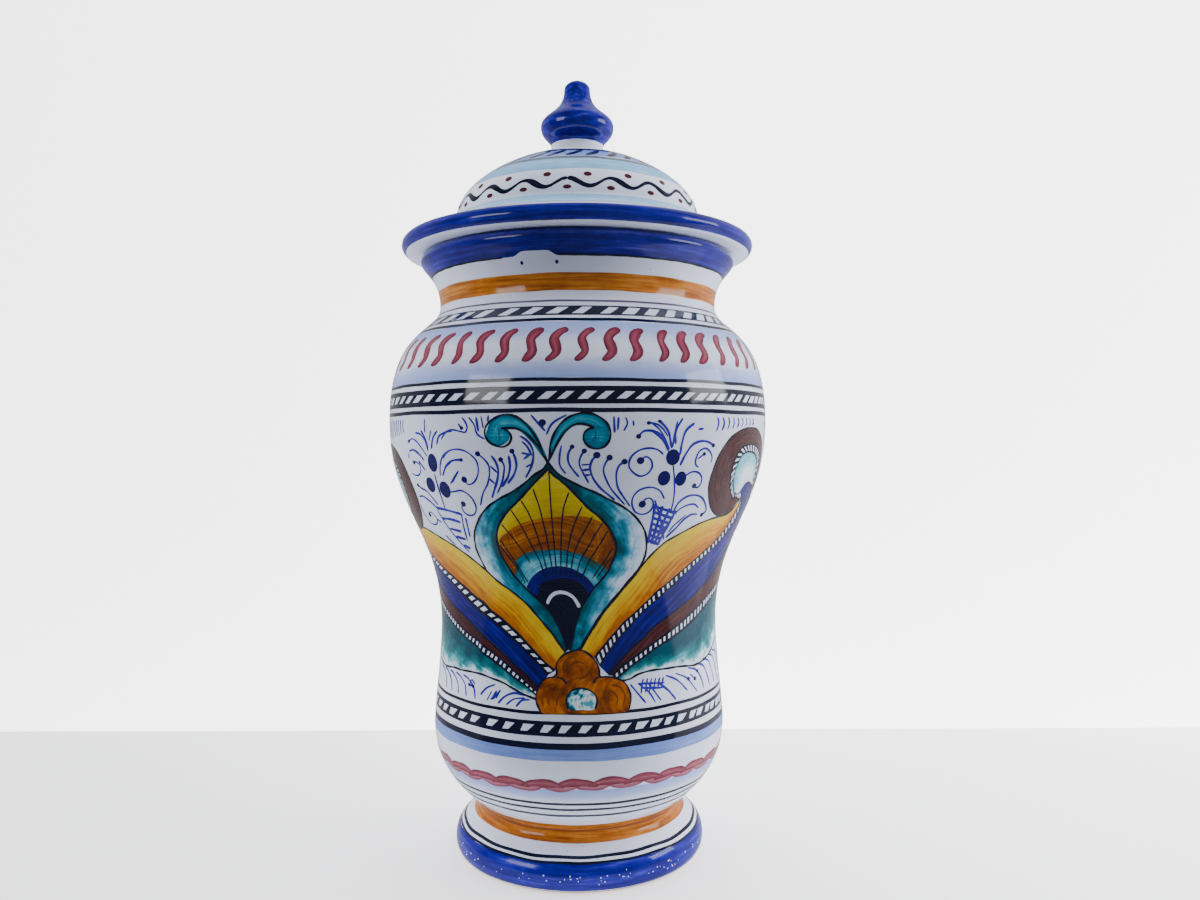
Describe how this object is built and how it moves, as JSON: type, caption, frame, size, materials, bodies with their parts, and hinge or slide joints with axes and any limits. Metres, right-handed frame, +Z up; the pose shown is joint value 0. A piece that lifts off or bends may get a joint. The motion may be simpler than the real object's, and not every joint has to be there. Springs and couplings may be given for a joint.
{
  "type": "lidded apothecary jar",
  "caption": "Waisted, tin-glazed earthenware drug jar on a luted foot ring, painted with feather scrollwork, with a domed lid that lifts off by a finial knob.",
  "frame": {"origin": "centre of the foot, on the surface that the jar stands on", "axes": "+Z up along the jar's axis; -Y towards the painted front"},
  "size_m": [0.1488, 0.1488, 0.305],
  "materials": {
    "tin_glaze": "gloss",
    "cobalt_glaze": "gloss"
  },
  "bodies": {
    "jar": {"jar_body": "tin_glaze", "jar_foot": "tin_glaze"},
    "lid": {"lid": "tin_glaze", "lid_knob": "cobalt_glaze"}
  },
  "joints": [
    {"name": "lid_lift", "type": "slide", "parent": "jar", "child": "lid", "axis": [0, 0, 1], "range_m": [0, 0.12]}
  ]
}
